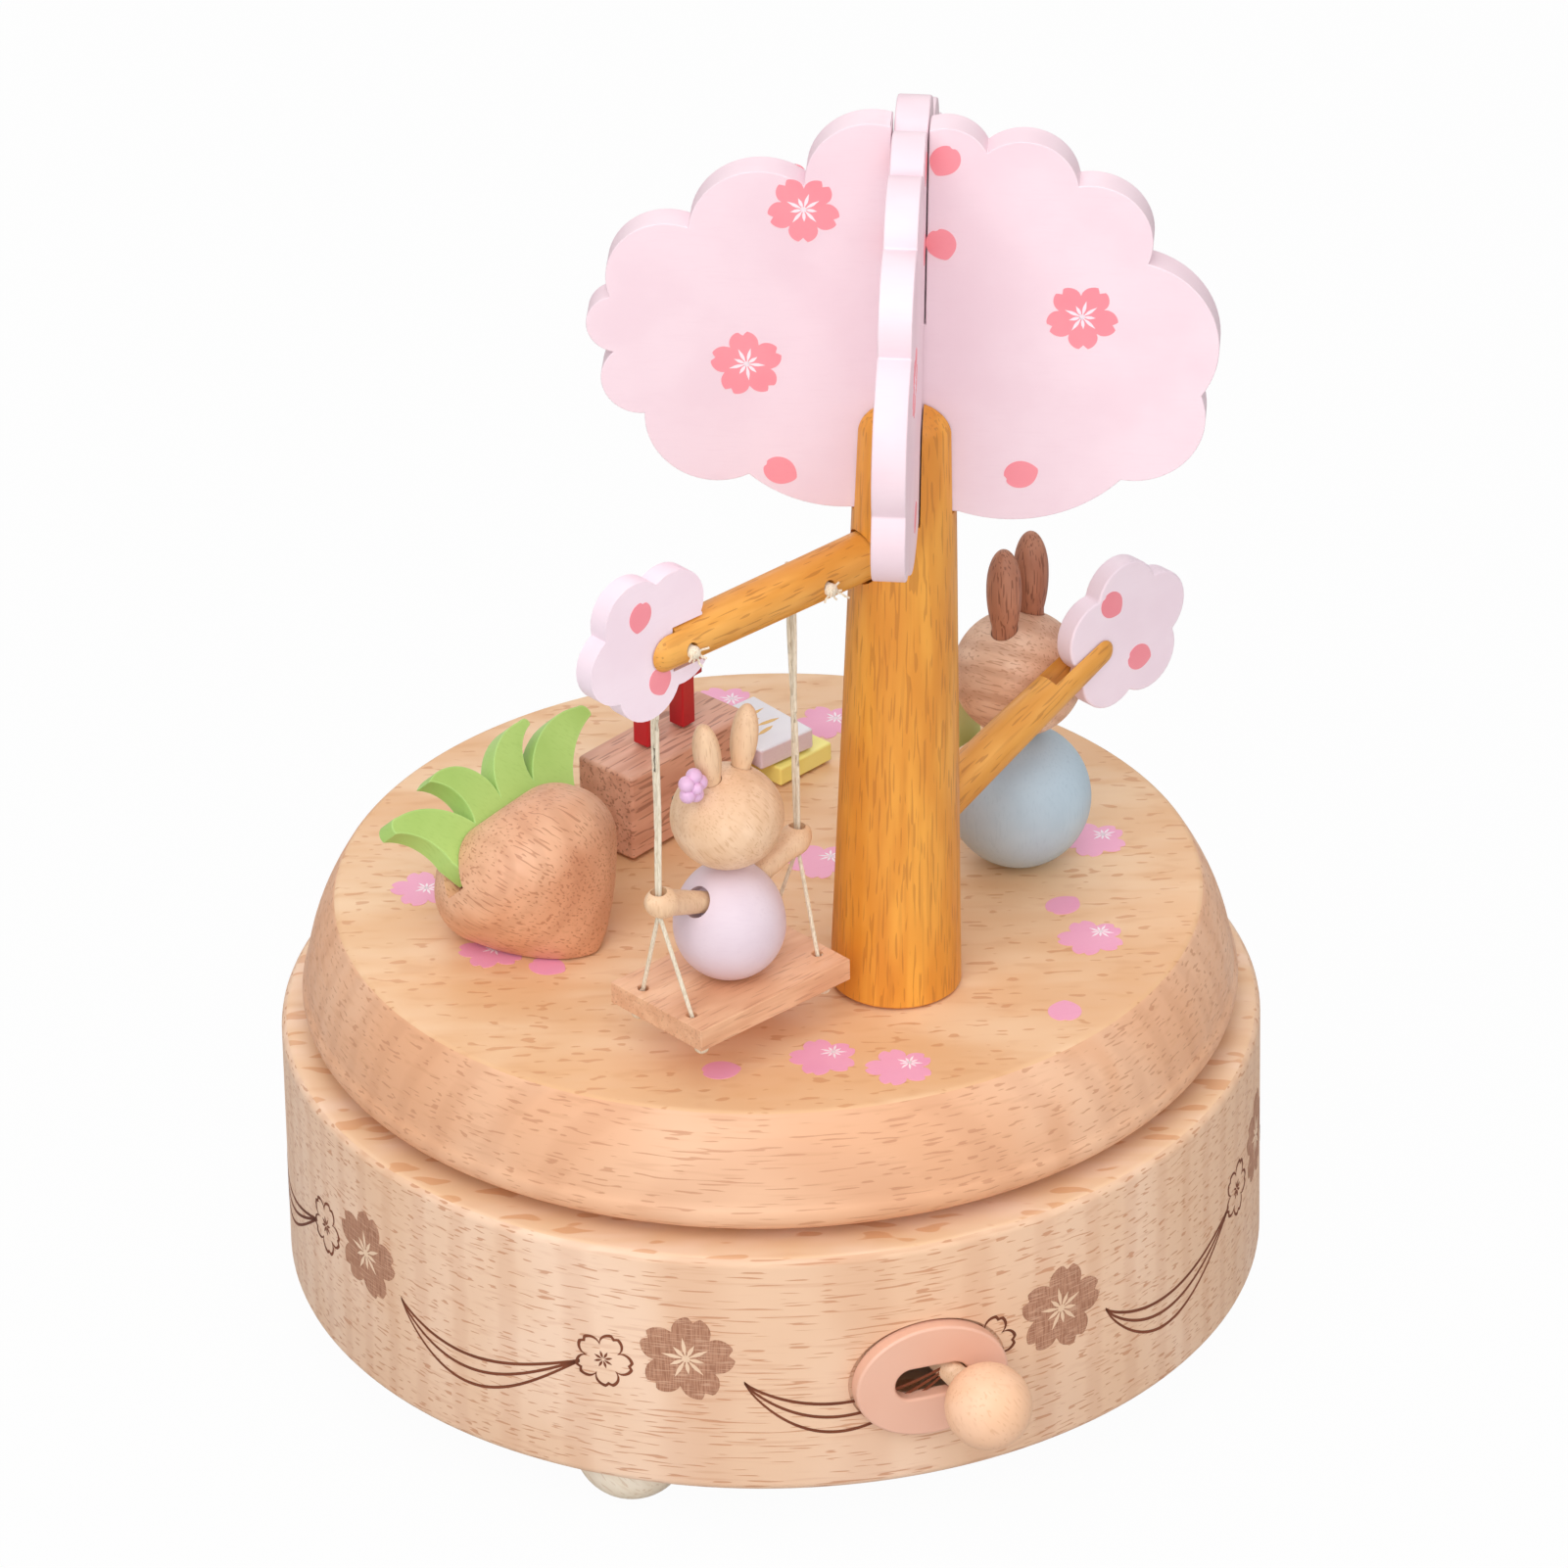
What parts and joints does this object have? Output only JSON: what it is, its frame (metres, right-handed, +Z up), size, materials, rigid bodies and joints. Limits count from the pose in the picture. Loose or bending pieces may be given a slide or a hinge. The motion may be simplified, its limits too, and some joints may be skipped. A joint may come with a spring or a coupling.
{
  "type": "music box",
  "caption": "Wind-up wooden music box: a drum with a start lever, a turntable with a tree, a swing and small turned figures, and a comb movement inside.",
  "frame": {"origin": "on the turning axis, in the plane of the drum's flat underside", "axes": "+Z up along the turntable's shaft; the start lever stands on the -Y side"},
  "size_m": [0.12, 0.1339, 0.1716],
  "materials": {
    "beech": "turned and sanded, clear finish",
    "pale_wood": "sanded",
    "stained_wood": "mustard stain",
    "brown_wood": "brown stain",
    "dark_dowel": "dark brown stain",
    "pink_board": "pale pink paint on thin board",
    "leaf_paint": "green paint",
    "red_paint": "dark red paint",
    "lilac_paint": "lilac paint",
    "blue_paint": "pale blue paint",
    "yellow_paint": "yellow paint",
    "white_card": "white paint",
    "pink_plastic": "moulded, satin",
    "cotton": "twisted cotton string",
    "cover_board": "plain fibre board",
    "brass": "machined",
    "steel": "bright"
  },
  "bodies": {
    "base": {"base_drum": "beech", "bottom_cover": "cover_board", "foot_1": "pale_wood", "foot_2": "pale_wood", "foot_3": "pale_wood", "cover_screw_1": "steel", "cover_screw_2": "steel", "cover_screw_3": "steel", "lever_escutcheon": "pink_plastic", "lever_pivot_pin": "steel", "bedplate": "steel", "music_comb": "steel", "comb_screw_1": "steel", "comb_screw_2": "steel", "spring_barrel": "brass", "mainspring": "steel", "cylinder_bracket": "brass", "governor_bracket": "brass", "movement_screw_1": "steel", "movement_screw_2": "steel"},
    "turntable": {"big_rabbit_body": "blue_paint", "big_rabbit_ear_left": "dark_dowel", "big_rabbit_ear_right": "dark_dowel", "big_rabbit_head": "pale_wood", "blossom_board_left": "pink_board", "blossom_board_right": "pink_board", "branch_left": "stained_wood", "branch_right": "stained_wood", "canopy_board_across": "pink_board", "canopy_board_along": "pink_board", "chest_card": "yellow_paint", "crown_wheel": "brass", "main_shaft": "steel", "red_gate": "red_paint", "swing_anchor_1": "cotton", "swing_anchor_2": "cotton", "tree_trunk": "stained_wood", "turnip": "brown_wood", "turnip_leaves": "leaf_paint", "turntable_disc": "beech", "turntable_hub": "brass", "white_box": "white_card", "wooden_block": "brown_wood", "yellow_tray": "yellow_paint"},
    "swing": {"swing_seat": "brown_wood", "swing_string_1": "cotton", "swing_string_2": "cotton", "small_rabbit_body": "lilac_paint", "small_rabbit_head": "pale_wood", "small_rabbit_ear_left": "pale_wood", "small_rabbit_ear_right": "pale_wood", "small_rabbit_arm_left": "pale_wood", "small_rabbit_arm_right": "pale_wood", "hair_flower": "lilac_paint"},
    "cylinder": {"music_cylinder": "brass", "cylinder_arbor": "steel"},
    "governor": {"governor_wheel": "steel"},
    "fly": {"governor_fly": "steel"},
    "lever": {"stop_lever": "steel", "lever_knob": "pale_wood"}
  },
  "joints": [
    {"name": "turntable_spin", "type": "hinge", "parent": "base", "child": "turntable", "pos_m": [0, 0, 0], "axis": [0, 0, 1], "continuous": true},
    {"name": "swing_pivot", "type": "hinge", "parent": "turntable", "child": "swing", "pos_m": [-0.01502, -0.0322, 0.1087], "axis": [0.91, 0.4147, 0], "range_deg": [-18, 18]},
    {"name": "cylinder_spin", "type": "hinge", "parent": "base", "child": "cylinder", "pos_m": [0, 0, 0.0145], "axis": [-0.5241, -0.8517, 0], "continuous": true},
    {"name": "governor_spin", "type": "hinge", "parent": "base", "child": "governor", "pos_m": [0.00894, -0.0055, 0.0145], "axis": [-0.5241, -0.8517, 0], "continuous": true},
    {"name": "fly_spin", "type": "hinge", "parent": "base", "child": "fly", "pos_m": [0, -0.03053, 0], "axis": [0, 0, 1], "continuous": true},
    {"name": "lever_turn", "type": "hinge", "parent": "base", "child": "lever", "pos_m": [0, -0.0456, 0.0145], "axis": [0, 0, 1], "range_deg": [-22, 0]}
  ],
  "couplings": [
    {"joint": "cylinder_spin", "follows": "turntable_spin", "ratio": -4},
    {"joint": "governor_spin", "follows": "turntable_spin", "ratio": 12.8},
    {"joint": "fly_spin", "follows": "turntable_spin", "ratio": -102.4}
  ]
}
